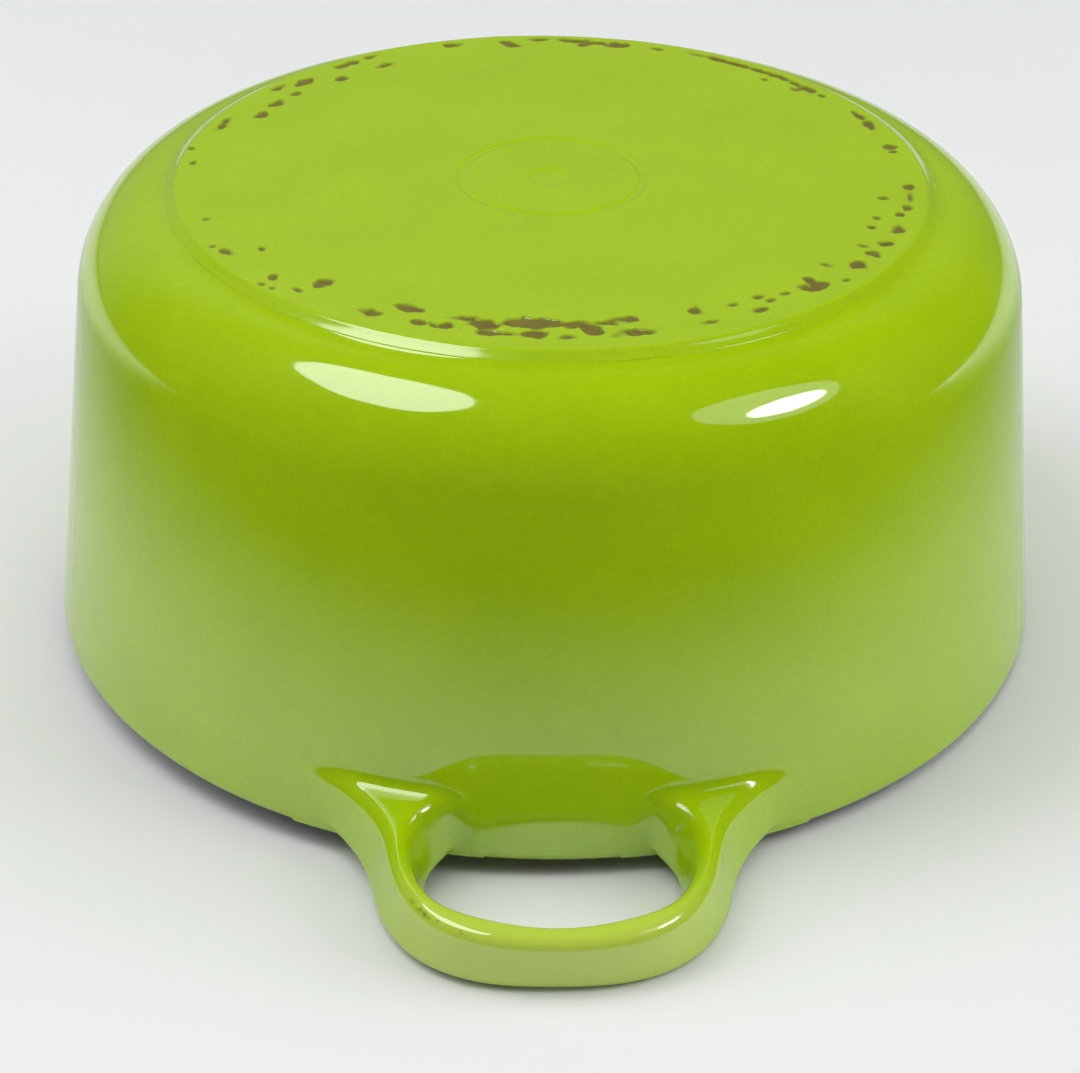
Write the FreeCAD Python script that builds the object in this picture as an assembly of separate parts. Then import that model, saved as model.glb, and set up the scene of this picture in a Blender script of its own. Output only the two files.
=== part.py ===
import FreeCAD, Part
import math
import os

# Pot of an enamelled cast-iron casserole, turned upside down.  Its two handles reach a little
# below its rim, so it stands on them.  Millimetres, +Z up.  Shapes are worked out with the rim
# plane at height 0 and raised by RIM_LIFT at the end, so that the handles' undersides are at 0.
# The two loop handles lie on the Y axis: the front handle towards -Y, the rear one towards +Y.
# The pot is one iron casting.  Every other node is a coat of enamel fused to part of it.

# ---------------------------------------------------------------- driving dimensions
RIM_RADIUS = 96.0          # outside of the rim, at the rim plane
RIM_LIFT = 2.5             # how far the handles reach below the rim plane
HEIGHT = 87.5              # rim plane to the top of the foot disc
WALL_TAPER = 5.95          # degrees that the wall leans in towards the base
WALL_THICKNESS = 3.6       # wall and base, both coats included
COAT = 0.4                 # enamel thickness

SHOULDER_HEIGHT = 85.58    # level that the corner's arc reaches at its top
CORNER_RADIUS = 18.45      # big round corner between wall and base

FOOT_EDGE_CENTRE = 69.3    # radius at which the foot disc's edge starts to round over
FOOT_EDGE_RADIUS = 1.6     # round edge of the foot disc
FOOT_GROOVE_RADIUS = 9.0   # hollow between the foot disc and the corner
FOOT_SPLIT_RADIUS = 71.8   # where the base's coat meets the wall's, in that hollow

MOUTH_RADIUS = 90.0        # straight ring inside the rim, where a lid's locating ring goes
MOUTH_DEPTH = 6.0          # height of that ring
MOUTH_RELIEF = 3.0         # height over which the wall then widens behind the ring
RIM_OUTER_ROUND = 2.0      # round outer edge of the rim
RIM_INNER_ROUND = 1.4      # round inner edge of the rim
RIM_BAND_HEIGHT = 0.55     # how far the black rim coat reaches up the outside

MARK_RING_RADIUS = 17.0    # plain ring sunk into the middle of the foot disc
MARK_SPOT_RADIUS = 4.0     # plain round spot sunk at its centre
MARK_DEPTH = 0.25          # depth of ring and spot, less than the coat
MARK_WIDTH = 1.4           # width of the ring

HANDLE_TOP = 7.0           # top of the handle's bar
HANDLE_BOTTOM = -RIM_LIFT  # underside of the handle's bar
ROOT_SLOPE = 9.5           # degrees that the arm's top face rises on its way to the wall
ROOT_SLOPE_START = 131.0   # distance from the axis at which that face begins to rise
UNDER_SLOPE = 13.0         # degrees that the arm's underside rises on its way to the wall
UNDER_SLOPE_START = 112.0  # distance from the axis at which the underside begins to rise
ROOT_BEND = 12.0           # radius of the bend where either face begins to rise
EDGE_ROUND = 1.5           # round edges along the handle

# Plan of one half of the handle, as (distance to the side, distance from the pot's axis).
# Its sides lean, so each outline is given at the rim plane and again at ROOT_SECTION.
ROOT_SECTION = 14.0
OUTER_LOW = [(0, 127.6), (14.3, 125.7), (23.1, 120.3), (28.1, 112.8),
             (30.6, 105.5), (32.7, 98.8), (37.0, 91.3), (45.5, 81.0)]
OUTER_HIGH = [(0, 128.4), (13.5, 125.9), (20.9, 121.4), (25.1, 115.0),
              (27.4, 106.8), (29.6, 97.8), (34.8, 90.5), (48.5, 79.5)]
HOLE_LOW = [(0, 120.2), (11.0, 118.2), (18.2, 114.0), (21.6, 107.0),
            (21.3, 100.8), (18.5, 96.8), (15.0, 92.5), (10.0, 86.0)]
HOLE_HIGH = [(0, 125.2), (13.2, 122.6), (21.5, 118.0), (25.3, 111.2),
             (25.7, 103.2), (22.6, 95.8), (15.0, 92.6), (7.0, 87.0)]

CLEAR = 20.0               # how far cutting tools run past what they cut
LONG_EDGE = 20.0           # edges longer than this run along the handle
TOUCHING = 1e-6            # curve ends nearer than this are taken as meeting
HANDLE_REACH = OUTER_HIGH[0][1]

# ---------------------------------------------------------------- worked-out values
TAPER = math.radians(WALL_TAPER)
CORNER_CENTRE_Z = SHOULDER_HEIGHT - CORNER_RADIUS
CORNER_CENTRE_R = (RIM_RADIUS - CORNER_CENTRE_Z * math.tan(TAPER)
                   - CORNER_RADIUS / math.cos(TAPER))
Z_AXIS = FreeCAD.Vector(0, 0, 1)
ORIGIN = FreeCAD.Vector(0, 0, 0)


# ---------------------------------------------------------------- small helpers
def rz(radius, height):
    """Point of a half section: radius along X, height along Z."""
    return FreeCAD.Vector(radius, 0, height)


def xy(x, y, z):
    """Point of the front handle's plan.  y is the distance from the axis towards the front."""
    return FreeCAD.Vector(x, -y, z)


def line(a, b):
    return Part.LineSegment(a, b).toShape()


def arc(centre, radius, start, end):
    """Arc in the half section, from one angle to another, in degrees from the radial direction."""
    def at(angle):
        turn = math.radians(angle)
        return rz(centre[0] + radius * math.cos(turn), centre[1] + radius * math.sin(turn))
    return Part.Arc(at(start), at((start + end) / 2), at(end)).toShape()


def ends(edge):
    """First and last point of an edge."""
    return edge.valueAt(edge.FirstParameter), edge.valueAt(edge.LastParameter)


def joined(curves):
    """Curves in order, with straight edges put in wherever one ends short of the next."""
    edges = []
    for curve in curves:
        if edges:
            gap_start = ends(edges[-1])[1]
            gap_end = ends(curve)[0]
            if gap_start.distanceToPoint(gap_end) > TOUCHING:
                edges.append(line(gap_start, gap_end))
        edges.append(curve)
    return edges


def turned(edges):
    """Solid of revolution about Z from a closed half section."""
    face = Part.Face(Part.Wire(edges))
    return face.revolve(ORIGIN, Z_AXIS, 360)


def crossing(centre_a, radius_a, centre_b, radius_b):
    """Crossing point of two circles that lies to the left of the way from a to b."""
    dr = centre_b[0] - centre_a[0]
    dz = centre_b[1] - centre_a[1]
    apart = math.hypot(dr, dz)
    along = (apart ** 2 + radius_a ** 2 - radius_b ** 2) / (2 * apart)
    aside = math.sqrt(radius_a ** 2 - along ** 2)
    middle = (centre_a[0] + along * dr / apart, centre_a[1] + along * dz / apart)
    return (middle[0] - aside * dz / apart, middle[1] + aside * dr / apart)


def angle_to(origin, target):
    """Direction from one half-section point to another, in degrees."""
    return math.degrees(math.atan2(target[1] - origin[1], target[0] - origin[0]))


# ---------------------------------------------------------------- bowl
def bowl_outside(skin):
    """Everything inside the pot's outer surface, taken in by skin: a solid with no cavity."""
    corner_centre = (CORNER_CENTRE_R, CORNER_CENTRE_Z)
    edge_centre = (FOOT_EDGE_CENTRE, HEIGHT - FOOT_EDGE_RADIUS)
    groove_centre = crossing(edge_centre, FOOT_EDGE_RADIUS + FOOT_GROOVE_RADIUS,
                             corner_centre, CORNER_RADIUS + FOOT_GROOVE_RADIUS)
    corner_end = angle_to(corner_centre, groove_centre)
    edge_start = angle_to(edge_centre, groove_centre)
    rim_centre = (RIM_RADIUS - RIM_OUTER_ROUND * (math.tan(TAPER) + 1 / math.cos(TAPER)),
                  RIM_OUTER_ROUND)
    return turned(joined([
        line(rz(0, skin), rz(rim_centre[0], skin)),
        arc(rim_centre, RIM_OUTER_ROUND - skin, -90, WALL_TAPER),
        arc(corner_centre, CORNER_RADIUS - skin, WALL_TAPER, corner_end),
        arc(groove_centre, FOOT_GROOVE_RADIUS + skin, corner_end - 180, edge_start - 180),
        arc(edge_centre, FOOT_EDGE_RADIUS - skin, edge_start, 90),
        line(rz(FOOT_EDGE_CENTRE, HEIGHT - skin), rz(0, HEIGHT - skin)),
        line(rz(0, HEIGHT - skin), rz(0, skin)),
    ]))


def cavity(skin):
    """The pot's hollow, made larger by skin.  It runs out below the rim."""
    wall = WALL_THICKNESS - skin
    corner_radius = CORNER_RADIUS - wall
    relief_z = MOUTH_DEPTH + MOUTH_RELIEF
    inner_r = RIM_RADIUS - relief_z * math.tan(TAPER) - wall / math.cos(TAPER)
    mouth = MOUTH_RADIUS + skin
    floor = SHOULDER_HEIGHT - wall
    return turned(joined([
        line(rz(0, -CLEAR), rz(mouth, -CLEAR)),
        line(rz(mouth, -CLEAR), rz(mouth, MOUTH_DEPTH)),
        line(rz(mouth, MOUTH_DEPTH), rz(inner_r, relief_z)),
        arc((CORNER_CENTRE_R, CORNER_CENTRE_Z), corner_radius, WALL_TAPER, 90),
        line(rz(CORNER_CENTRE_R, floor), rz(0, floor)),
        line(rz(0, floor), rz(0, -CLEAR)),
    ]))


def rim_inner_round(skin):
    """Ring of material that rounding the rim's inner edge takes away."""
    corner_r = MOUTH_RADIUS + skin
    centre = (MOUTH_RADIUS + RIM_INNER_ROUND, RIM_INNER_ROUND)
    return turned(joined([
        arc(centre, RIM_INNER_ROUND - skin, -90, -180),
        line(rz(corner_r, RIM_INNER_ROUND), rz(corner_r - CLEAR, RIM_INNER_ROUND)),
        line(rz(corner_r - CLEAR, RIM_INNER_ROUND), rz(corner_r - CLEAR, -CLEAR)),
        line(rz(corner_r - CLEAR, -CLEAR), rz(centre[0], -CLEAR)),
        line(rz(centre[0], -CLEAR), rz(centre[0], skin)),
    ]))


def slab(low, high):
    """Wide round plate between two heights."""
    return Part.makeCylinder(HANDLE_REACH + CLEAR, high - low, FreeCAD.Vector(0, 0, low), Z_AXIS)


# ---------------------------------------------------------------- handles
def outline(low, high, z, skin):
    """Closed plan of the handle or its hole at height z, moved towards the pot by skin."""
    share = z / ROOT_SECTION
    half = [(a[0] + (b[0] - a[0]) * share, a[1] + (b[1] - a[1]) * share)
            for a, b in zip(low, high)]
    whole = [(-x, y) for x, y in reversed(half[1:])] + half
    curve = Part.BSplineCurve()
    curve.interpolate([xy(x, y, z) for x, y in whole])
    moved = []
    for x, y in whole:
        run = curve.tangent(curve.parameter(xy(x, y, z)))[0]
        moved.append(xy(x, y, z) + Z_AXIS.cross(run) * skin)
    curve.interpolate(moved)
    edge = curve.toShape()
    first, last = ends(edge)
    return Part.Wire([edge, line(last, first)])


def plan_block(low, high, skin):
    """Solid with leaning sides between the two plans of an outline, taller than the handle."""
    below = HANDLE_BOTTOM - CLEAR / 10
    above = ROOT_SECTION + CLEAR / 2
    sections = [outline(low, high, below, skin), outline(low, high, above, skin)]
    return Part.makeLoft(sections, True, True)


def rising_face(level, slope_degrees, start, skin):
    """Edges of a face that is level far out and rises towards the wall, moved down by skin."""
    slope = math.radians(slope_degrees)
    bend_start = start + ROOT_BEND * math.tan(slope / 2)
    bend = arc((bend_start, level + ROOT_BEND), ROOT_BEND + skin, -90 - slope_degrees, -90)
    bend_high, bend_low = ends(bend)
    inner_r = RIM_RADIUS - CLEAR
    inner_z = bend_high.z + (bend_high.x - inner_r) * math.tan(slope)
    return [line(rz(inner_r, inner_z), bend_high), bend,
            line(bend_low, rz(HANDLE_REACH + CLEAR, level - skin))]


def space_beyond(face, level):
    """Turned solid between a rising face and the plane at some level above or below it."""
    inner = ends(face[0])[0]
    outer = ends(face[-1])[1]
    return turned(joined(face + [
        line(outer, rz(outer.x, level)),
        line(rz(outer.x, level), rz(inner.x, level)),
        line(rz(inner.x, level), inner),
    ]))


def handle_edges(block):
    """The long edges of the handle's block, at its top face and its underside."""
    chosen = []
    for edge in block.Edges:
        places = [edge.valueAt(edge.FirstParameter + (edge.LastParameter - edge.FirstParameter) * t)
                  for t in (0.1, 0.5, 0.9)]
        is_along = edge.Length > LONG_EDGE
        if is_along and max(math.hypot(p.x, p.y) for p in places) > RIM_RADIUS:
            chosen.append(edge)
    return chosen


def front_handle(skin):
    """Block of the front handle, running back into the wall, taken in by skin all round."""
    top = rising_face(HANDLE_TOP, ROOT_SLOPE, ROOT_SLOPE_START, skin)
    underside = rising_face(HANDLE_BOTTOM, UNDER_SLOPE, UNDER_SLOPE_START, -skin)
    ring = plan_block(OUTER_LOW, OUTER_HIGH, skin).cut(plan_block(HOLE_LOW, HOLE_HIGH, -skin))
    block = ring.cut(space_beyond(top, HEIGHT)).cut(space_beyond(underside, -CLEAR))
    return block.makeFillet(EDGE_ROUND - skin, handle_edges(block))


def rear(shape):
    """The same shape at the back of the pot: half a turn about the pot's axis."""
    copy = shape.copy()
    copy.rotate(ORIGIN, Z_AXIS, 180)
    return copy


# ---------------------------------------------------------------- plain mark in the base
def mark():
    """Plain ring and spot that are sunk into the coat in the middle of the foot disc."""
    def disc(radius):
        return Part.makeCylinder(radius, CLEAR, FreeCAD.Vector(0, 0, HEIGHT - MARK_DEPTH), Z_AXIS)
    ring = disc(MARK_RING_RADIUS + MARK_WIDTH / 2).cut(disc(MARK_RING_RADIUS - MARK_WIDTH / 2))
    return ring.fuse(disc(MARK_SPOT_RADIUS))


# ---------------------------------------------------------------- nodes
def build_nodes():
    outside = bowl_outside(0)
    iron_outside = bowl_outside(COAT)
    hollow = cavity(0).fuse(rim_inner_round(0))
    iron_hollow = cavity(COAT).fuse(rim_inner_round(COAT))
    block = front_handle(0)
    iron_block = front_handle(COAT)
    iron_blocks = iron_block.fuse(rear(iron_block))

    below_band = slab(-CLEAR, RIM_BAND_HEIGHT)
    above_band = slab(RIM_BAND_HEIGHT, HEIGHT + CLEAR)
    foot_plug = Part.makeCylinder(FOOT_SPLIT_RADIUS, 2 * CLEAR,
                                  FreeCAD.Vector(0, 0, SHOULDER_HEIGHT - CLEAR), Z_AXIS)

    outer_coat = outside.cut(iron_outside).cut(iron_blocks)
    lining = iron_hollow.cut(hollow)
    casting = iron_outside.fuse(iron_blocks).cut(iron_hollow)
    handle_coat = block.cut(outside).cut(iron_block)

    return {
        "iron_casting": casting,
        "wall_enamel": outer_coat.common(above_band).cut(foot_plug),
        "base_enamel": outer_coat.common(foot_plug).cut(mark()),
        "front_handle_enamel": handle_coat,
        "rear_handle_enamel": rear(handle_coat),
        "rim_enamel": rim_coat(outer_coat, lining, below_band),
        "interior_enamel": lining.common(slab(MOUTH_DEPTH, HEIGHT)),
    }


def rim_coat(outer_coat, lining, below_band):
    """Black coat of the rim: the band outside, the face it stands on and the mouth ring."""
    outside_part = outer_coat.common(below_band).cut(cavity(0)).cut(rim_inner_round(0))
    mouth_part = lining.common(slab(0, MOUTH_DEPTH)).common(bowl_outside(0))
    return outside_part.fuse(mouth_part).removeSplitter()


def export(name, shape):
    shape.translate(Z_AXIS * RIM_LIFT)
    shape.exportStep("parts/" + name + ".step")
    print(name, "valid", shape.isValid(), "solids", len(shape.Solids), "mm3", round(shape.Volume, 1))


os.makedirs("parts", exist_ok=True)
for node_name, node_shape in build_nodes().items():
    export(node_name, node_shape)
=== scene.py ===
import math

import bpy
import numpy as np
from mathutils import Matrix, Vector


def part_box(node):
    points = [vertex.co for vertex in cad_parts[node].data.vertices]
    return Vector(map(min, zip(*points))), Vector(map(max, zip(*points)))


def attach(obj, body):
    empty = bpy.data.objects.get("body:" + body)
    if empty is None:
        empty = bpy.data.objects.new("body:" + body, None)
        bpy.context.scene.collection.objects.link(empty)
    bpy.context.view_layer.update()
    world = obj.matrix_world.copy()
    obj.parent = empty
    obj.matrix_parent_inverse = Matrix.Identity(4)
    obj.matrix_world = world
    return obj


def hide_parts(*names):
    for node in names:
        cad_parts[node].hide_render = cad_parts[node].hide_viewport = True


# Looks for an enamelled cast-iron pot that stands upside down on its two handles.
# Shapes are worked out in millimetres with the rim plane at height 0, then raised by RIM_LIFT
# and made in metres.

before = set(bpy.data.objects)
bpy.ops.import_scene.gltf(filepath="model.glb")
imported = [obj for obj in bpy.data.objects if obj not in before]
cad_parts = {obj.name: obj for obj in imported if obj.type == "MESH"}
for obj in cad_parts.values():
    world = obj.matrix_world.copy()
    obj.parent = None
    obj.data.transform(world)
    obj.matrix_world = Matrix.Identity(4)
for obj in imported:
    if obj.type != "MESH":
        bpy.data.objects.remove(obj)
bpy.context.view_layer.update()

MM = 0.001

# ---------------------------------------------------------------- the pot's own dimensions
RIM_LIFT = 2.5
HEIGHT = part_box("base_enamel")[1].z / MM - RIM_LIFT
RIM_RADIUS = 96.0
TAPER = math.radians(5.95)
WALL_THICKNESS = 3.6
COAT = 0.4
SHOULDER_HEIGHT = 85.58
CORNER_RADIUS = 18.45
FOOT_EDGE_CENTRE = 69.3
FOOT_EDGE_RADIUS = 1.6
FOOT_GROOVE_RADIUS = 9.0
FOOT_SPLIT_RADIUS = 71.8
MOUTH_RADIUS = 90.0
MOUTH_DEPTH = 6.0
MOUTH_RELIEF = 3.0
RIM_OUTER_ROUND = 2.0
RIM_INNER_ROUND = 1.4
MARK_RING_RADIUS = 17.0
MARK_SPOT_RADIUS = 4.0
MARK_DEPTH = 0.25
MARK_WIDTH = 1.4

# The handles' top is a little flatter here than in the CAD, and their edges a little rounder.
HANDLE_TOP = 7.3           # level of the top face at ROOT_SLOPE_START, just outside the handle
HANDLE_BOTTOM = -RIM_LIFT
ROOT_SLOPE = 8.3           # degrees that the top face rises towards the wall
ROOT_SLOPE_START = 131.0
UNDER_SLOPE = 13.0         # degrees that the underside rises towards the wall
UNDER_SLOPE_START = 112.0
SLOPE_BEND = 0.5           # reach of the soft bend where a face begins to rise
EDGE_ROUND = 1.9           # round edges along the handle
SIDE_LEAN = 18.5           # lean in degrees that turns plan distances into ones from the sides
ROOT_SECTION = 14.0        # height above the rim plane of the HIGH outlines
OUTER_LOW = [(0, 127.6), (14.3, 125.7), (23.1, 120.3), (28.1, 112.8),
             (30.6, 105.5), (32.7, 98.8), (37.0, 91.3), (45.5, 81.0)]
OUTER_HIGH = [(0, 128.4), (13.5, 125.9), (20.9, 121.4), (25.1, 115.0),
              (27.4, 106.8), (29.6, 97.8), (34.8, 90.5), (48.5, 79.5)]
HOLE_LOW = [(0, 120.2), (11.0, 118.2), (18.2, 114.0), (21.6, 107.0),
            (21.3, 100.8), (18.5, 96.8), (15.0, 92.5), (10.0, 86.0)]
HOLE_HIGH = [(0, 125.2), (13.2, 122.6), (21.5, 118.0), (25.3, 111.2),
             (25.7, 103.2), (22.6, 95.8), (15.0, 92.6), (7.0, 87.0)]

CORNER_CENTRE_Z = SHOULDER_HEIGHT - CORNER_RADIUS
CORNER_CENTRE_R = (RIM_RADIUS - CORNER_CENTRE_Z * math.tan(TAPER)
                   - CORNER_RADIUS / math.cos(TAPER))

SEGMENTS = 720             # steps round the pot for its plain surfaces
FOOT_SEGMENTS = 1200       # steps round the foot disc, which has small chips


# ---------------------------------------------------------------- camera
CAMERA_PLACE = Vector((-0.01120, -0.52397, 0.32473 + RIM_LIFT * MM))
CAMERA_TARGET = Vector((-0.00114, 0.00002, 0.00899 + RIM_LIFT * MM))
CAMERA_ROLL = 0.015
CAMERA_LENS = 102.1


def make_camera():
    """Camera at the photograph's angle, turned a little about its own axis."""
    data = bpy.data.cameras.new("camera")
    data.sensor_width = 36
    data.lens = CAMERA_LENS
    data.clip_start = 0.01
    camera = bpy.data.objects.new("camera", data)
    bpy.context.scene.collection.objects.link(camera)
    back = (CAMERA_PLACE - CAMERA_TARGET).normalized()
    right = Vector((0, 0, 1)).cross(back).normalized()
    up = back.cross(right)
    rolled_right = right * math.cos(CAMERA_ROLL) + up * math.sin(CAMERA_ROLL)
    rolled_up = up * math.cos(CAMERA_ROLL) - right * math.sin(CAMERA_ROLL)
    turn = Matrix((rolled_right, rolled_up, back)).transposed()
    camera.matrix_world = Matrix.Translation(CAMERA_PLACE) @ turn.to_4x4()
    bpy.context.scene.camera = camera


# ---------------------------------------------------------------- small geometry helpers
def arc(centre, radius, start, end, steps):
    """Points (radius, height) along an arc of the half section; angles in degrees."""
    turn = np.radians(np.linspace(start, end, steps))
    return np.column_stack([centre[0] + radius * np.cos(turn),
                            centre[1] + radius * np.sin(turn)])


def run(start, end, steps):
    """Points along a straight run of the half section, without its first point."""
    share = np.linspace(0, 1, steps + 1)[1:, None]
    return np.array(start) * (1 - share) + np.array(end) * share


def smooth_step(value, low, high):
    share = np.clip((value - low) / (high - low), 0, 1)
    return share * share * (3 - 2 * share)


def crossing(a, radius_a, b, radius_b):
    """Crossing point of two circles that lies to the left of the way from a to b."""
    dr = b[0] - a[0]
    dz = b[1] - a[1]
    apart = math.hypot(dr, dz)
    along = (apart ** 2 + radius_a ** 2 - radius_b ** 2) / (2 * apart)
    aside = math.sqrt(radius_a ** 2 - along ** 2)
    return (a[0] + (along * dr - aside * dz) / apart, a[1] + (along * dz + aside * dr) / apart)


def angle_to(origin, target):
    return math.degrees(math.atan2(target[1] - origin[1], target[0] - origin[0]))


def smooth_curve(points, steps):
    """Even points along the natural cubic spline through some points."""
    points = np.array(points, float)
    gaps = np.hypot(*np.diff(points, axis=0).T)
    knots = np.concatenate([[0], np.cumsum(gaps)])
    count = len(points)
    system = np.eye(count)
    target = np.zeros((count, 2))
    for i in range(1, count - 1):
        system[i, i - 1:i + 2] = gaps[i - 1], 2 * (gaps[i - 1] + gaps[i]), gaps[i]
        target[i] = 6 * ((points[i + 1] - points[i]) / gaps[i]
                         - (points[i] - points[i - 1]) / gaps[i - 1])
    bends = np.linalg.solve(system, target)
    places = np.linspace(0, knots[-1], steps)
    span = np.clip(np.searchsorted(knots, places, side="right") - 1, 0, count - 2)
    gap = gaps[span][:, None]
    after = (places - knots[span])[:, None] / gap
    before = 1 - after
    return (before * points[span] + after * points[span + 1]
            + ((before ** 3 - before) * bends[span]
               + (after ** 3 - after) * bends[span + 1]) * gap ** 2 / 6)


def waves(points, size, seed, count=10):
    """Smooth seeded unevenness at each point, from about -1 to 1, with bumps of about that size."""
    rng = np.random.default_rng(seed)
    ways = rng.normal(size=(count, 3))
    ways /= np.linalg.norm(ways, axis=1)[:, None]
    lengths = size * rng.uniform(0.7, 1.8, count)
    phases = rng.uniform(0, 2 * math.pi, count)
    total = np.zeros(len(points))
    for way, length, phase in zip(ways, lengths, phases):
        total += np.sin(points @ way * (2 * math.pi / length) + phase)
    return total / math.sqrt(count)


# ---------------------------------------------------------------- making pieces
def make_piece(name, vertices, faces, material, node, extra=None):
    """Object from vertices in millimetres that stands for a CAD node and rides on the pot."""
    mesh = bpy.data.meshes.new(name)
    raised = np.asarray(vertices) + (0, 0, RIM_LIFT)
    mesh.from_pydata((raised * MM).tolist(), [], faces)
    mesh.validate()
    mesh.shade_smooth()
    mesh.materials.append(material)
    for label, values in (extra or {}).items():
        attribute = mesh.attributes.new(label, "FLOAT", "POINT")
        attribute.data.foreach_set("value", np.asarray(values, np.float32))
    piece = bpy.data.objects.new(name, mesh)
    bpy.context.scene.collection.objects.link(piece)
    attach(piece, "root")
    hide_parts(node)
    return piece


def revolve(sections):
    """Vertices and quads of a closed ring.  sections is (steps round, points, 2), front first."""
    around, along = sections.shape[:2]
    turn = np.linspace(0, 2 * math.pi, around, endpoint=False)[:, None]
    vertices = np.stack([sections[:, :, 0] * np.cos(turn),
                         sections[:, :, 0] * np.sin(turn),
                         sections[:, :, 1]], axis=2).reshape(-1, 3)
    i = np.arange(around)[:, None]
    j = np.arange(along)[None, :]
    following_i = (i + 1) % around
    following_j = (j + 1) % along
    quads = np.stack([i * along + j, following_i * along + j,
                      following_i * along + following_j, i * along + following_j], axis=2)
    return vertices, quads.reshape(-1, 4).tolist()


def revolve_cap(radii, heights, around):
    """Vertices and faces of a closed turned solid whose section starts and ends on the axis.

    radii is (points,) and heights (around, points); both leave out the two points on the axis,
    whose heights are taken from the section's ends.
    """
    along = len(radii)
    turn = np.linspace(0, 2 * math.pi, around, endpoint=False)[:, None]
    body = np.stack([radii[None, :] * np.cos(turn), radii[None, :] * np.sin(turn), heights], axis=2)
    first_pole = [0, 0, heights[:, 0].mean()]
    last_pole = [0, 0, heights[:, -1].mean()]
    vertices = np.concatenate([body.reshape(-1, 3), [first_pole, last_pole]])
    i = np.arange(around)[:, None]
    j = np.arange(along - 1)[None, :]
    following = (i + 1) % around
    quads = np.stack([i * along + j, i * along + j + 1,
                      following * along + j + 1, following * along + j], axis=2)
    faces = quads.reshape(-1, 4).tolist()
    first = around * along
    for k in range(around):
        after = (k + 1) % around
        faces.append([first, k * along, after * along])
        faces.append([first + 1, after * along + along - 1, k * along + along - 1])
    return vertices, faces


def same_all_round(section, around):
    return np.broadcast_to(section, (around,) + section.shape).copy()


# ---------------------------------------------------------------- the pot's half section
CORNER_CENTRE = (CORNER_CENTRE_R, CORNER_CENTRE_Z)
FOOT_CENTRE = (FOOT_EDGE_CENTRE, HEIGHT - FOOT_EDGE_RADIUS)
GROOVE_CENTRE = crossing(FOOT_CENTRE, FOOT_EDGE_RADIUS + FOOT_GROOVE_RADIUS,
                         CORNER_CENTRE, CORNER_RADIUS + FOOT_GROOVE_RADIUS)
CORNER_END = angle_to(CORNER_CENTRE, GROOVE_CENTRE)
FOOT_START = angle_to(FOOT_CENTRE, GROOVE_CENTRE)
RIM_CENTRE = (RIM_RADIUS - RIM_OUTER_ROUND * (math.tan(TAPER) + 1 / math.cos(TAPER)),
              RIM_OUTER_ROUND)
TAPER_DEGREES = math.degrees(TAPER)
GROOVE_SPLIT = -math.degrees(math.acos((FOOT_SPLIT_RADIUS - GROOVE_CENTRE[0]) / FOOT_GROOVE_RADIUS))


def wall_radius(height, skin=0.0):
    """Outer radius of the wall at a height, taken in by skin."""
    return RIM_RADIUS - height * math.tan(TAPER) - skin / math.cos(TAPER)


def corner_and_groove(skin, corner_steps, groove_steps):
    """Section from the foot of the corner's arc into the hollow, to where the coats meet."""
    corner = arc(CORNER_CENTRE, CORNER_RADIUS - skin, TAPER_DEGREES, CORNER_END, corner_steps)
    groove = arc(GROOVE_CENTRE, FOOT_GROOVE_RADIUS + skin, CORNER_END - 180, GROOVE_SPLIT,
                 groove_steps)
    return np.concatenate([corner, groove[1:]])


def foot_edge(skin, groove_steps, edge_steps):
    """Section from where the coats meet up to the top of the foot disc's round edge."""
    groove = arc(GROOVE_CENTRE, FOOT_GROOVE_RADIUS + skin, GROOVE_SPLIT, FOOT_START - 180,
                 groove_steps)
    edge = arc(FOOT_CENTRE, FOOT_EDGE_RADIUS - skin, FOOT_START, 90, edge_steps)
    return np.concatenate([groove, edge[1:]])


def band_height(turn):
    """Height of the edge between green and black round the rim; turn is from +X, in radians."""
    return 0.55 + 0.10 * np.sin(5 * turn + 1) + 0.07 * np.sin(13 * turn) + 0.04 * np.sin(37 * turn + 2)


def rim_angles(heights):
    """Angles on the rim's outer round, in degrees, at some heights."""
    return np.degrees(np.arcsin((heights - RIM_CENTRE[1]) / RIM_OUTER_ROUND))


# ---------------------------------------------------------------- coats of the bowl
def unevenness(points):
    """How far the fired coat stands proud of the ideal surface, in millimetres."""
    return 0.022 * waves(points, 30, 11) + 0.006 * waves(points, 9, 12)


def outward(points):
    """Rough outward direction of the pot's outside at points on it."""
    radius = np.hypot(points[:, 0], points[:, 1])
    height = np.clip(points[:, 2] - CORNER_CENTRE_Z, 0, None)
    spread = np.clip(radius - CORNER_CENTRE_R, 0, None)
    along = np.where(height > 0, spread, 1.0)
    up = np.where(height > 0, height, math.tan(TAPER))
    way = np.column_stack([points[:, 0] / radius * along, points[:, 1] / radius * along, up])
    return way / np.linalg.norm(way, axis=1)[:, None]


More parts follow.
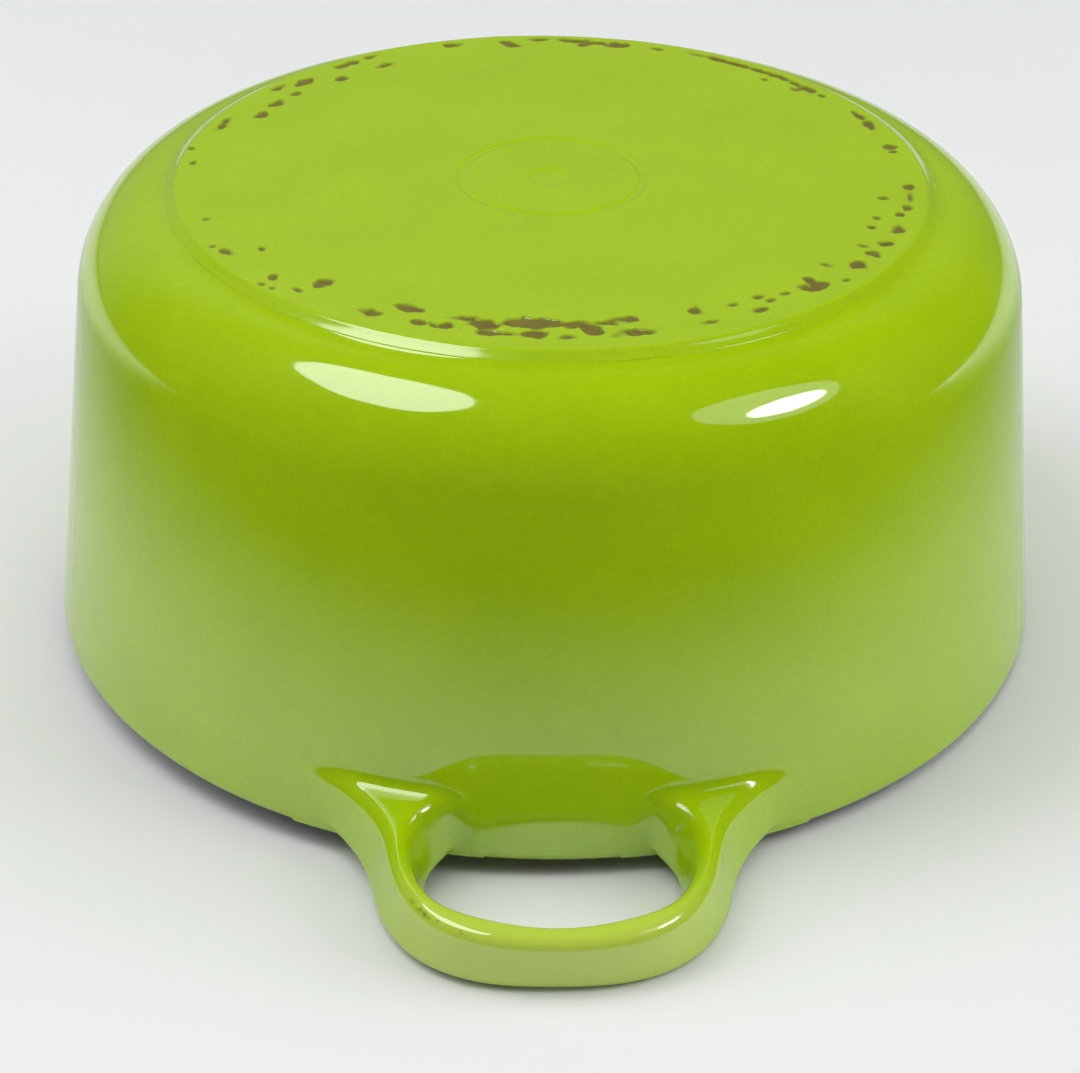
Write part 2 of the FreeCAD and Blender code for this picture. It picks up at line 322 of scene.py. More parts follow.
def make_wall(material):
    """Green coat of the wall and corner, from the black rim to the hollow round the foot."""
    turn = np.linspace(0, 2 * math.pi, SEGMENTS, endpoint=False)
    round_top = RIM_CENTRE[1] + RIM_OUTER_ROUND * math.sin(TAPER)
    wall_top = CORNER_CENTRE[1] + CORNER_RADIUS * math.sin(TAPER)
    heights = round_top + (wall_top - round_top) * np.linspace(0, 1, 41)[1:-1] ** 1.2
    wall = np.column_stack([wall_radius(heights), heights])
    inside = np.column_stack([wall_radius(heights[::8], COAT), heights[::8]])[::-1]
    upper = corner_and_groove(0, 44, 24)
    inner = corner_and_groove(COAT, 20, 8)[::-1]
    sections = []
    for start in rim_angles(band_height(turn)):
        low = arc(RIM_CENTRE, RIM_OUTER_ROUND, start, TAPER_DEGREES, 9)
        inside_low = arc(RIM_CENTRE, RIM_OUTER_ROUND - COAT, TAPER_DEGREES, start, 5)
        sections.append(np.concatenate([low, wall, upper, inner, inside, inside_low]))
    vertices, faces = revolve(np.array(sections))
    outside = len(low) + len(wall) + len(upper)
    is_outside = np.tile(np.arange(len(sections[0])) < outside, SEGMENTS)
    moved = vertices + outward(vertices) * (unevenness(vertices) * is_outside)[:, None]
    return make_piece("wall_coat", moved, faces, material, "wall_enamel")


def make_rim(material):
    """Black coat: the rim's round edges, its face and the mouth ring."""
    turn = np.linspace(0, 2 * math.pi, SEGMENTS, endpoint=False)
    inner_centre = (MOUTH_RADIUS + RIM_INNER_ROUND, RIM_INNER_ROUND)
    inner_round = arc(inner_centre, RIM_INNER_ROUND, -90, -180, 9)
    inner_round_back = arc(inner_centre, RIM_INNER_ROUND - COAT, -180, -90, 6)
    sunk = 0.12            # how far the black lies under the green's edge
    hidden = 12            # degrees of the round over which it runs on behind the green
    sections = []
    for edge in rim_angles(band_height(turn)):
        angles = np.linspace(edge + hidden, -90, 14)
        reach = RIM_OUTER_ROUND - sunk * smooth_step(angles, -85, edge)
        way = np.radians(angles)
        outer_round = np.column_stack([RIM_CENTRE[0] + reach * np.cos(way),
                                       RIM_CENTRE[1] + reach * np.sin(way)])
        outer_round_back = arc(RIM_CENTRE, RIM_OUTER_ROUND - COAT, -90, edge + hidden, 8)
        sections.append(np.concatenate([
            outer_round, run(outer_round[-1], inner_round[0], 6)[:-1], inner_round,
            run(inner_round[-1], (MOUTH_RADIUS, MOUTH_DEPTH), 6),
            [(MOUTH_RADIUS + COAT, MOUTH_DEPTH)], inner_round_back, outer_round_back]))
    vertices, faces = revolve(np.array(sections)[:, ::-1])
    return make_piece("rim_band", vertices, faces, material, "rim_enamel")


def make_lining(material):
    """Cream coat inside, from the mouth ring up the wall and over the pot's floor."""
    def surface(wall, mouth, steps):
        relief = MOUTH_DEPTH + MOUTH_RELIEF
        relief_radius = RIM_RADIUS - relief * math.tan(TAPER) - wall / math.cos(TAPER)
        corner = arc(CORNER_CENTRE, CORNER_RADIUS - wall, TAPER_DEGREES, 90, steps)
        return np.concatenate([
            [(mouth, MOUTH_DEPTH)], run((mouth, MOUTH_DEPTH), (relief_radius, relief), 4),
            run((relief_radius, relief), corner[0], steps)[:-1], corner,
            run(corner[-1], (2, corner[-1][1]), steps)])
    inside = surface(WALL_THICKNESS, MOUTH_RADIUS, 26)
    against_iron = surface(WALL_THICKNESS - COAT, MOUTH_RADIUS + COAT, 12)
    section = np.concatenate([against_iron[::-1], inside])
    heights = same_all_round(section[:, 1], SEGMENTS // 2)
    vertices, faces = revolve_cap(section[:, 0], heights, SEGMENTS // 2)
    return make_piece("cream_lining", vertices, faces, material, "interior_enamel")


# ---------------------------------------------------------------- chips in the foot disc
# Where the coat has worn off: (degrees from +X, distance from the axis, length round the disc,
# width across it), in millimetres.
CHIPS = [
    # front
    (-101.5, 61.6, 5.4, 3.0), (-104.6, 60.5, 4.6, 1.5), (-94.0, 60.2, 9.6, 3.8),
    (-87.4, 60.7, 6.4, 2.2), (-84.6, 62.6, 3.4, 4.8), (-82.0, 60.4, 5.0, 0.9),
    (-78.9, 59.8, 4.4, 1.9), (-78.3, 64.6, 6.4, 1.8), (-100.6, 64.6, 3.0, 1.9),
    (-98.8, 64.6, 4.2, 0.9), (-93.3, 64.2, 3.7, 2.5), (-88.6, 65.3, 2.0, 1.3),
    # front left
    (-107.5, 64.0, 3.6, 1.9), (-111.3, 64.4, 2.1, 1.8), (-114.7, 60.3, 4.6, 2.3),
    (-119.4, 64.7, 3.2, 2.0), (-131.6, 60.7, 3.1, 3.1), (-138.7, 65.4, 1.9, 1.9),
    (-136.0, 68.2, 0.9, 0.8), (-138.0, 68.6, 1.0, 0.8), (-133.0, 65.5, 1.5, 0.7),
    # left
    (-148.3, 60.9, 1.3, 1.0), (-150.4, 66.7, 2.4, 1.7), (-153.0, 68.0, 1.0, 1.0),
    (-162.6, 65.9, 1.2, 1.0), (176.0, 67.3, 1.4, 0.9), (170.4, 69.0, 1.0, 0.8),
    # back left
    (160.8, 66.9, 2.6, 1.4), (158.6, 67.1, 2.8, 0.9), (153.7, 62.2, 2.8, 2.3),
    (147.8, 62.9, 2.8, 2.3), (142.2, 62.8, 2.3, 1.3), (142.5, 67.4, 2.7, 1.2),
    (137.7, 65.6, 4.2, 2.4), (131.6, 61.9, 2.2, 1.9), (127.9, 67.0, 3.0, 1.5),
    (125.6, 67.3, 2.6, 1.5), (121.8, 62.6, 3.1, 1.3), (122.0, 67.7, 2.3, 0.9),
    # back
    (106.7, 67.0, 2.9, 1.8), (97.4, 66.4, 2.0, 1.6), (96.6, 65.0, 2.8, 2.2),
    (91.2, 67.6, 3.0, 1.2), (84.8, 67.3, 5.6, 1.5), (83.2, 65.8, 1.9, 3.0),
    (80.9, 67.0, 4.6, 1.2), (77.4, 66.5, 4.6, 2.3), (70.2, 66.8, 1.5, 0.9),
    # back right, with one long thin line
    (62.9, 67.2, 2.2, 0.9), (59.0, 67.1, 4.6, 1.6), (55.0, 67.1, 6.2, 1.3),
    (50.5, 67.1, 6.0, 1.0), (46.0, 67.2, 6.0, 1.4), (42.3, 67.0, 5.0, 1.1),
    (39.4, 66.8, 4.8, 1.7), (41.0, 64.6, 1.6, 0.9), (47.5, 64.2, 1.0, 0.7),
    (36.0, 66.8, 1.4, 0.9), (26.0, 67.2, 3.4, 1.2), (22.2, 66.8, 3.8, 2.1),
    # right
    (12.6, 66.5, 1.9, 2.2), (10.9, 66.4, 1.1, 1.4), (-3.2, 66.5, 2.3, 2.0),
    (-7.2, 66.6, 2.2, 0.7), (-8.1, 61.6, 0.9, 1.6), (-11.3, 66.2, 2.2, 1.4),
    (-13.8, 65.3, 1.3, 1.2), (-16.4, 61.5, 0.9, 1.0), (-19.4, 66.0, 3.0, 1.6),
    (-20.2, 61.4, 0.9, 1.0), (-25.0, 65.8, 1.8, 2.0), (-27.7, 62.6, 0.8, 1.7),
    (-29.6, 65.4, 2.0, 2.1), (-34.5, 65.0, 3.0, 3.3), (-37.6, 60.5, 0.9, 1.8),
    # front right
    (-43.9, 61.7, 2.0, 2.0), (-44.8, 64.4, 4.4, 2.6), (-46.4, 63.4, 1.8, 2.2),
    (-54.7, 60.8, 1.5, 0.9), (-53.7, 63.0, 1.4, 0.9), (-60.2, 60.9, 1.4, 1.0),
    (-57.3, 65.0, 2.1, 1.4), (-66.4, 59.8, 2.2, 2.4), (-66.3, 64.8, 1.9, 0.8),
    (-50.2, 62.6, 1.3, 0.8), (-40.0, 66.6, 1.1, 0.8),
]
CHIP_DEPTH = 0.24          # from the coat's surface down to the iron
CHIP_BEVEL = 0.45          # width of the slope at a chip's edge
CHIP_OVERCUT = 0.14        # how far the coat dips below the iron in a chip, so that iron shows
NO_CHIP = 9.0              # distance given to places far from every chip
COAT_BACK_GAP = 0.1        # how far the back of the disc's coat lies below its thickness
MARK_EDGE = 0.35           # half width of the slope at the ring's edges
SPOT_EDGE = 0.5            # half width of the slope at the spot's edge


def chip_distance(radius, turn):
    """Distance in millimetres outside the nearest chip's outline, negative inside a chip."""
    x = radius * np.cos(turn)
    y = radius * np.sin(turn)
    flat = np.column_stack([x.ravel(), y.ravel(), np.zeros(x.size)])
    ragged = (0.30 * waves(flat, 2.6, 21) + 0.16 * waves(flat, 1.2, 22)).reshape(x.shape)
    nearest = np.full(x.shape, NO_CHIP)
    for degrees, distance, length, width in CHIPS:
        way = math.radians(degrees)
        off_x = x - distance * math.cos(way)
        off_y = y - distance * math.sin(way)
        across = (off_x * math.cos(way) + off_y * math.sin(way)) / (width / 2)
        along = (off_y * math.cos(way) - off_x * math.sin(way)) / (length / 2)
        size = min(length, width) / 2
        outline = (np.hypot(across, along) - 1) * size
        nearest = np.minimum(nearest, outline + ragged * min(size, 1.0))
    return nearest


def mark_relief(radius):
    """Depth of the plain sunk ring and spot at a distance from the axis."""
    from_ring = np.abs(radius - MARK_RING_RADIUS)
    ring = 1 - smooth_step(from_ring, MARK_WIDTH / 2 - MARK_EDGE, MARK_WIDTH / 2 + MARK_EDGE)
    spot = 1 - smooth_step(radius, MARK_SPOT_RADIUS - SPOT_EDGE, MARK_SPOT_RADIUS + SPOT_EDGE)
    return MARK_DEPTH * (ring + spot)


def foot_radii():
    """Distances from the axis at which the foot disc's flat face has rings of vertices."""
    return np.concatenate([
        np.linspace(0.6, 3.2, 5), np.linspace(3.4, 4.6, 7), np.linspace(5.5, 15.4, 9),
        np.linspace(15.7, 18.3, 14), np.linspace(19.5, 56.5, 28),
        np.linspace(57.4, FOOT_EDGE_CENTRE, 36)])


def make_base(material):
    """Green coat of the foot disc, worn through in chips near its edge."""
    edge = foot_edge(0, 12, 12)
    inner_edge = foot_edge(COAT, 5, 5)
    flat = foot_radii()
    top_radii = np.concatenate([flat[:-1], edge[::-1, 0]])
    top_heights = np.concatenate([np.full(len(flat) - 1, HEIGHT), edge[::-1, 1]])
    turn = np.linspace(0, 2 * math.pi, FOOT_SEGMENTS, endpoint=False)[:, None]
    radius = np.broadcast_to(top_radii, (FOOT_SEGMENTS, len(top_radii)))
    chip = chip_distance(radius, np.broadcast_to(turn, radius.shape))
    worn = 1 - smooth_step(chip, -CHIP_BEVEL / 2, CHIP_BEVEL / 2)
    places = np.column_stack([(radius * np.cos(turn)).ravel(), (radius * np.sin(turn)).ravel(),
                              np.full(radius.size, HEIGHT)])
    texture = (0.012 * waves(places, 5, 31) + 0.02 * waves(places, 22, 32)).reshape(radius.shape)
    heights = top_heights + texture - mark_relief(top_radii) - worn * (CHIP_DEPTH + CHIP_OVERCUT)
    heights = np.minimum(heights, HEIGHT)
    below_radii = np.concatenate([inner_edge[:, 0], [60, 45, 25, 8]])
    below_heights = np.concatenate([inner_edge[:, 1], np.full(4, HEIGHT - COAT)]) - COAT_BACK_GAP
    all_radii = np.concatenate([top_radii, below_radii])
    all_heights = np.concatenate([heights, same_all_round(below_heights, FOOT_SEGMENTS)], axis=1)
    vertices, faces = revolve_cap(all_radii, all_heights, FOOT_SEGMENTS)
    chip_values = np.concatenate([chip, np.full((FOOT_SEGMENTS, len(below_radii)), NO_CHIP)],
                                 axis=1)
    extra = {"chip": np.concatenate([chip_values.ravel(), [NO_CHIP, NO_CHIP]])}
    return make_piece("base_coat", vertices, faces, material, "base_enamel", extra)


# ---------------------------------------------------------------- handles
OUTLINE_STEPS = 90
WALL_BLEND = 3.2           # reach of the soft join between handle and wall
HIDDEN = 0.006             # how far the handle's skin lies under the wall's where the join ends
HIDDEN_BEYOND = 0.15       # how far it then dips under the wall's
BURIED = 1.2               # how far the handle's piece runs into the wall
LOWEST_JOIN = 0.6          # height above the rim plane at which the soft join starts
FULL_JOIN = 7              # height above the rim plane from which the join has its whole reach
CORE_RUN_IN = 2            # how far the handle's iron runs into the wall
GRID_SIDE = 46             # space searched for the handle: to each side,
GRID_LOW = (80, -4.0)      # nearest to the axis and lowest,
GRID_HIGH = (134, 18)      # farthest from the axis and highest
RIDGE_INSET = 0.6          # how far inside the sharp edge the worn ridge lies


def half_outline(points):
    """Even points along one half of an outline that is smooth across its middle."""
    whole = [(-x, y) for x, y in reversed(points[1:])] + points
    return smooth_curve(whole, 2 * OUTLINE_STEPS - 1)[OUTLINE_STEPS - 1:]


def outline_distance(side, reach, height, low, high):
    """Signed distance across the plan to a leaning outline; negative on the pot's side of it."""
    low_curve = half_outline(low)
    change = (half_outline(high) - low_curve) / ROOT_SECTION
    result = np.empty(len(side))
    block = 20000
    for start in range(0, len(side), block):
        part = slice(start, start + block)
        x, y, z = side[part], reach[part], height[part]
        nearest = np.full(len(x), 1e9)
        turned = np.zeros(len(x))
        off_x = x - low_curve[0, 0] - change[0, 0] * z
        off_y = y - low_curve[0, 1] - change[0, 1] * z
        for k in range(1, OUTLINE_STEPS):
            next_x = x - low_curve[k, 0] - change[k, 0] * z
            next_y = y - low_curve[k, 1] - change[k, 1] * z
            step_x = off_x - next_x
            step_y = off_y - next_y
            along = (off_x * step_x + off_y * step_y) / (step_x * step_x + step_y * step_y)
            along = np.minimum(np.maximum(along, 0), 1)
            miss_x = off_x - step_x * along
            miss_y = off_y - step_y * along
            squared = miss_x * miss_x + miss_y * miss_y
            closer = squared < nearest
            nearest = np.where(closer, squared, nearest)
            turned = np.where(closer, step_x * off_y - step_y * off_x, turned)
            off_x, off_y = next_x, next_y
        result[part] = np.sqrt(nearest) * np.sign(turned)
    return result


def rising_distance(radius, height, level, slope_degrees, start):
    """Distance above a face that is level far out and rises towards the wall."""
    slope_angle = math.radians(slope_degrees)
    above_level = height - level
    rise = (start - radius) * math.tan(slope_angle)
    return blended(above_level, (above_level - rise) * math.cos(slope_angle), SLOPE_BEND)


def roof_distance(radius, height):
    """Distance above the handle's top face."""
    return rising_distance(radius, height, HANDLE_TOP, ROOT_SLOPE, ROOT_SLOPE_START)


def rounded(a, b, radius):
    """Common part of two solids with a round edge where they meet."""
    outside = np.hypot(np.maximum(a + radius, 0), np.maximum(b + radius, 0))
    return np.minimum(np.maximum(a, b), -radius) + outside


def blended(a, b, reach):
    """Both solids together with a soft inner corner where they meet."""
    near = np.maximum(reach - np.abs(a - b), 0) / reach
    return np.minimum(a, b) - near ** 3 * reach / 6


def handle_block(points):
    """Signed distance to the front handle alone.  points are (to the side, towards the front, up)."""
    lean = math.cos(math.radians(SIDE_LEAN))
    side = np.abs(points[:, 0])
    outer = outline_distance(side, points[:, 1], points[:, 2], OUTER_LOW, OUTER_HIGH) * lean
    hole = -outline_distance(side, points[:, 1], points[:, 2], HOLE_LOW, HOLE_HIGH) * lean
    sides = np.maximum(outer, hole)
    radius = np.hypot(points[:, 0], points[:, 1])
    roof = roof_distance(radius, points[:, 2])
    topped = rounded(sides, roof, EDGE_ROUND)
    underside = rising_distance(radius, points[:, 2], HANDLE_BOTTOM, UNDER_SLOPE, UNDER_SLOPE_START)
    return rounded(topped, -underside, EDGE_ROUND)


def handle_skin(points):
    """Signed distance to the handle's coat as it flows into the wall's."""
    height = points[:, 2]
    wall = (np.hypot(points[:, 0], points[:, 1]) - wall_radius(height)) * math.cos(TAPER)
    block = handle_block(points)
    reach = WALL_BLEND * (0.15 + 0.85 * smooth_step(height, LOWEST_JOIN, FULL_JOIN))
    dip = HIDDEN + HIDDEN_BEYOND * smooth_step(block, 0.75 * reach, 1.2 * reach)
    joined = blended(wall, block, reach) + dip
    beyond = np.maximum(block - 1.3 * WALL_BLEND, -(wall + BURIED))
    low = np.minimum(LOWEST_JOIN - height, block)
    return np.maximum(np.maximum(joined, low), beyond)


def handle_core(points):
    """Signed distance to the handle's iron, which runs back into the iron of the wall."""
    radius = np.hypot(points[:, 0], points[:, 1])
    wall = (radius - wall_radius(points[:, 2])) * math.cos(TAPER)
    return np.maximum(handle_block(points) + COAT, -(wall + CORE_RUN_IN))


def slope(field, points):
    """Direction and size of a field's steepest rise."""
    small = 0.02
    base = field(points)
    rises = []
    for way in np.eye(3):
        rises.append((field(points + way * small) - base) / small)
    return base, np.column_stack(rises)


def surface_of(field, pitch, rounds):
    """Vertices and quads of the surface where a field is zero, on a grid, then drawn onto it."""
    steps_aside = math.ceil(GRID_SIDE / pitch)
    low = np.array([-steps_aside * pitch, *GRID_LOW])
    high = np.array([steps_aside * pitch, *GRID_HIGH])
    counts = np.round((high - low) / pitch).astype(int) + 1
    axes = [low[k] + pitch * np.arange(counts[k]) for k in range(3)]
    middle = counts[0] // 2
    half = [axes[0][middle:], axes[1], axes[2]]
    grid = np.stack(np.meshgrid(*half, indexing="ij"), axis=3).reshape(-1, 3)
    right = field(grid).reshape(counts[0] - middle, counts[1], counts[2])
    values = np.concatenate([right[:0:-1], right])
    solid = values < 0
    corners = [(a, b, c) for a in (0, 1) for b in (0, 1) for c in (0, 1)]
    cells = counts - 1

    def shifted(array, corner):
        return array[corner[0]:corner[0] + cells[0], corner[1]:corner[1] + cells[1],
                     corner[2]:corner[2] + cells[2]]

    filled = sum(shifted(solid, c).astype(int) for c in corners)
    mixed = (filled > 0) & (filled < 8)
    where = np.argwhere(mixed)
    number = np.full(cells, -1)
    number[mixed] = np.arange(len(where))
    total = np.zeros((len(where), 3))
    hits = np.zeros(len(where))
    for a in corners:
        for k in range(3):
            if a[k]:
                continue
            b = tuple(a[m] + (m == k) for m in range(3))
            value_a = shifted(values, a)[mixed]
            value_b = shifted(values, b)[mixed]
            crossed = (value_a < 0) != (value_b < 0)
            share = np.where(crossed, value_a / np.where(crossed, value_a - value_b, 1), 0)
            place = np.tile(np.array(a, float), (len(where), 1))
            place[:, k] += share
            total += place * crossed[:, None]
            hits += crossed
    points = low + pitch * (where + total / hits[:, None])
    faces = []
    for k in range(3):
        m, n = (k + 1) % 3, (k + 2) % 3
        ahead = [slice(1, -1)] * 3
        ahead[k] = slice(0, -1)
        behind = [slice(1, -1)] * 3
        behind[k] = slice(1, None)
        starts = solid[tuple(ahead)]
        stops = solid[tuple(behind)]
        spots = np.argwhere(starts != stops)
        is_out = starts[tuple(spots.T)]
        spots[:, m] += 1
        spots[:, n] += 1
        ring = []
        for step_m, step_n in ((-1, -1), (0, -1), (0, 0), (-1, 0)):
            cell = spots.copy()
            cell[:, m] += step_m
            cell[:, n] += step_n
            ring.append(number[tuple(cell.T)])
        ring = np.stack(ring, axis=1)
        ring[~is_out] = ring[~is_out][:, ::-1]
        faces.append(ring)
    for _ in range(rounds):
        base, rise = slope(field, points)
        push = base / np.maximum((rise ** 2).sum(1), 0.2)
        points = points - rise * np.clip(push, -pitch / 2, pitch / 2)[:, None]
    return points, np.concatenate(faces)


def in_front(points):
    """From the handle's own directions (side, forward, up) to the pot's frame, for the front."""
    return points * np.array([1, -1, 1])


def behind_pot(points):
    """The same for the rear handle: the front one turned half way round."""
    return points * np.array([-1, 1, 1])


def make_handles(material):
    """Green coats of the two handles: one shape, turned half way round for the rear."""
    points, quads = surface_of(handle_skin, 0.4, 3)
    _, rise = slope(handle_skin, points)
    rise /= np.linalg.norm(rise, axis=1)[:, None]
    ridge = ridge_distance(points)
    for name, node, placed in (("front_handle_coat", "front_handle_enamel", in_front),
                               ("rear_handle_coat", "rear_handle_enamel", behind_pot)):
        vertices = placed(points)
        moved = vertices + placed(rise) * unevenness(vertices)[:, None]
        moved[:, 2] = np.maximum(moved[:, 2], HANDLE_BOTTOM)
        # mirroring one axis turns the faces inside out
        faces = quads[:, ::-1].tolist()
        make_piece(name, moved, faces, material, node, {"ridge": ridge})


def ridge_distance(points):
    """Distance from the outer upper edge of the handle, where the coat is thinnest."""
    side = np.abs(points[:, 0])
    outer = outline_distance(side, points[:, 1], points[:, 2], OUTER_LOW, OUTER_HIGH)
    roof = roof_distance(np.hypot(points[:, 0], points[:, 1]), points[:, 2])
    return np.hypot(outer + RIDGE_INSET, roof + RIDGE_INSET)


# ---------------------------------------------------------------- iron
IRON_GAP = 0.05            # gap between the iron and the coats' backs, except under the disc


def make_iron(material):
    """The casting under the coats; it shows only in the chips of the foot disc."""
    iron_top = HEIGHT - CHIP_DEPTH
    edge = foot_edge(COAT + IRON_GAP, 8, 8)
    corner = corner_and_groove(COAT + IRON_GAP, 20, 6)
    flat = np.concatenate([np.linspace(1, 56, 12), np.linspace(57, FOOT_EDGE_CENTRE, 32)])
    outer_low = np.array([[wall_radius(2.5, COAT + IRON_GAP), 2.5]])
    face_radii = np.concatenate([flat[:-1], edge[::-1, 0]])
    drop = smooth_step(face_radii, FOOT_EDGE_CENTRE - 1.5, FOOT_EDGE_CENTRE + 1.2)
    face_heights = np.concatenate([np.full(len(flat) - 1, iron_top), edge[::-1, 1]])
    face_heights = np.minimum(face_heights, iron_top - drop * 0.25)
    face_heights -= (COAT - CHIP_DEPTH) * (1 - smooth_step(face_radii, 50, 56))
    relief = MOUTH_DEPTH + MOUTH_RELIEF
    wall = WALL_THICKNESS - COAT - IRON_GAP
    relief_radius = RIM_RADIUS - relief * math.tan(TAPER) - wall / math.cos(TAPER)
    inner_corner = arc(CORNER_CENTRE, CORNER_RADIUS - wall, TAPER_DEGREES, 90, 16)
    mouth = MOUTH_RADIUS + COAT + IRON_GAP
    inside = np.concatenate([
        [(RIM_CENTRE[0], COAT + IRON_GAP), (MOUTH_RADIUS + RIM_INNER_ROUND, COAT + IRON_GAP),
         (mouth, RIM_INNER_ROUND), (mouth, MOUTH_DEPTH), (relief_radius, relief)],
        inner_corner, run(inner_corner[-1], (1, inner_corner[-1][1]), 6)])
    rest = np.concatenate([corner[::-1][1:], outer_low, inside])
    radii = np.concatenate([face_radii, rest[:, 0]])
    turn = np.linspace(0, 2 * math.pi, SEGMENTS, endpoint=False)[:, None]
    radius = np.broadcast_to(face_radii, (SEGMENTS, len(face_radii)))
    places = np.column_stack([(radius * np.cos(turn)).ravel(), (radius * np.sin(turn)).ravel(),
                              np.zeros(radius.size)])
    rough = (0.02 * waves(places, 1.6, 41) + 0.012 * waves(places, 0.9, 42)).reshape(radius.shape)
    rough *= smooth_step(radius, 56, 58)
    heights = np.concatenate([face_heights + rough, same_all_round(rest[:, 1], SEGMENTS)], axis=1)
    vertices, faces = revolve_cap(radii, heights, SEGMENTS)
    core, core_quads = surface_of(handle_core, 0.9, 2)
    for placed in (in_front, behind_pot):
        faces += (core_quads[:, ::-1] + len(vertices)).tolist()
        vertices = np.concatenate([vertices, placed(core)])
    return make_piece("iron_body", vertices, faces, material, "iron_casting")


# ---------------------------------------------------------------- materials
def node_adder(tree):
    """Helper that adds a shader node to a tree, sets it up and links what feeds it."""
    def add(kind, inputs=None, **settings):
        node = tree.nodes.new("ShaderNode" + kind)
        for key, value in settings.items():
            setattr(node, key, value)
        for key, value in (inputs or {}).items():
            if isinstance(value, bpy.types.NodeSocket):
                tree.links.new(value, node.inputs[key])
            else:
                node.inputs[key].default_value = value
        return node

    return add


def new_material(name):
    """Material with a surface shader, and a helper that adds and links nodes."""
    material = bpy.data.materials.new(name)
    material.use_nodes = True
    tree = material.node_tree
    return material, tree, tree.nodes["Principled BSDF"], node_adder(tree)


def ramp(add, value, stops):
    """Value or colour ramp with (position, colour) stops."""
    node = add("ValToRGB", {"Fac": value})
    elements = node.color_ramp.elements
    while len(elements) < len(stops):
        elements.new(0.5)
    for element, (position, colour) in zip(elements, stops):
        element.position = position
        element.color = colour if len(colour) == 4 else (*colour, 1)
    return node.outputs["Color"]


def grey(level):
    return (level, level, level)


def mix(add, share, first, second, kind="MIX"):
    node = add("Mix", data_type="RGBA", blend_type=kind)
    tree = node.id_data
    for index, value in ((0, share), (6, first), (7, second)):
        if isinstance(value, bpy.types.NodeSocket):
            tree.links.new(value, node.inputs[index])
        elif index == 0:
            node.inputs[index].default_value = value
        else:
            node.inputs[index].default_value = (*value, 1)
    return node.outputs[2]


ENAMEL_GREEN = (0.347, 0.530, 0.0010)
ENAMEL_DEEP = (0.333, 0.516, 0.0008)
ENAMEL_PALE = (0.362, 0.545, 0.0020)
# Painted sheen: paler green towards the handles' bar, standing in for the hazy reflection of its worn,
# duller gloss.
ENAMEL_PAINTED_SHEEN = (0.445, 0.585, 0.062)
SPECK_DARK = (0.07, 0.09, 0.01)
CHIP_DIRT = (0.16, 0.17, 0.02)
WORN_DARK = (0.12, 0.14, 0.01)
IRON_DARK = (0.125, 0.110, 0.016)
IRON_BROWN = (0.165, 0.138, 0.020)
IRON_LIGHT = (0.22, 0.175, 0.034)
BLACK_DARK = (0.008, 0.008, 0.008)
BLACK_LIGHT = (0.014, 0.013, 0.012)
CREAM_DARK = (0.72, 0.66, 0.52)
CREAM_LIGHT = (0.80, 0.75, 0.62)
COAT_IOR = 1.95            # refractive index of the gloss
GLOSSY = (0.05, 1.09)      # coat roughness, and index of the duller layer under the gloss
WORN_GLOSS = (0.12, 1.1)   # the same for the foot disc
PAINTED_SHEEN_FROM = 0.106        # metres from the X axis at which the handles' painted sheen starts
PAINTED_SHEEN_FULL = 0.123        # and at which it is complete


def enamel_common(add, shader, position, coat_roughness, dull_index):
    """Glossy fired coat: mottled colour, fine speckle and a slightly rippled surface.

    dull_index is the refractive index of the duller layer under the gloss; 1 for none.
    """
    cloud = add("TexNoise", {"Vector": position, "Scale": 55.0, "Detail": 3.0})
    mottle = ramp(add, cloud.outputs["Fac"], [(0.32, ENAMEL_DEEP), (0.5, ENAMEL_GREEN),
                                              (0.72, ENAMEL_PALE)])
    grain = add("TexNoise", {"Vector": position, "Scale": 900.0, "Detail": 4.0,
                             "Roughness": 0.7})
    grain_shade = ramp(add, grain.outputs["Fac"], [(0.3, grey(0.93)), (0.7, grey(1.05))])
    colour = mix(add, 1.0, mottle, grain_shade, "MULTIPLY")
    cells = add("TexVoronoi", {"Vector": position, "Scale": 150.0})
    chosen = ramp(add, cells.outputs["Color"], [(0.985, grey(0)), (0.99, grey(1))])
    dot = ramp(add, cells.outputs["Distance"], [(0.03, grey(1)), (0.06, grey(0))])
    speck = mix(add, 1.0, chosen, dot, "MULTIPLY")
    colour = mix(add, speck, colour, SPECK_DARK)
    ripple = add("TexNoise", {"Vector": position, "Scale": 160.0, "Detail": 2.0})
    bump = add("Bump", {"Height": ripple.outputs["Fac"], "Strength": 0.2,
                        "Distance": 0.00003})
    tree = shader.id_data
    tree.links.new(bump.outputs["Normal"], shader.inputs["Normal"])
    tree.links.new(bump.outputs["Normal"], shader.inputs["Coat Normal"])
    shader.inputs["Roughness"].default_value = 0.5
    shader.inputs["IOR"].default_value = dull_index
    shader.inputs["Coat Weight"].default_value = 1.0
    shader.inputs["Coat Roughness"].default_value = coat_roughness
    shader.inputs["Coat IOR"].default_value = COAT_IOR
    return colour


def green_enamel():
    material, tree, shader, add = new_material("green_enamel_gloss")
    position = add("TexCoord").outputs["Object"]
    colour = enamel_common(add, shader, position, *GLOSSY)
    tree.links.new(colour, shader.inputs["Base Color"])
    return material


def base_enamel():
    """The same coat on the foot disc, dulled by use and dirty at the edges of its chips."""
    material, tree, shader, add = new_material("green_enamel_worn")
    position = add("TexCoord").outputs["Object"]
    colour = enamel_common(add, shader, position, *WORN_GLOSS)
    chip = add("Attribute", attribute_name="chip").outputs["Fac"]
    near = add("MapRange", {"Value": chip, "From Min": -0.1, "From Max": 0.5,
                            "To Min": 0.85, "To Max": 0.0})
    colour = mix(add, near.outputs["Result"], colour, CHIP_DIRT)
    tree.links.new(colour, shader.inputs["Base Color"])
    return material


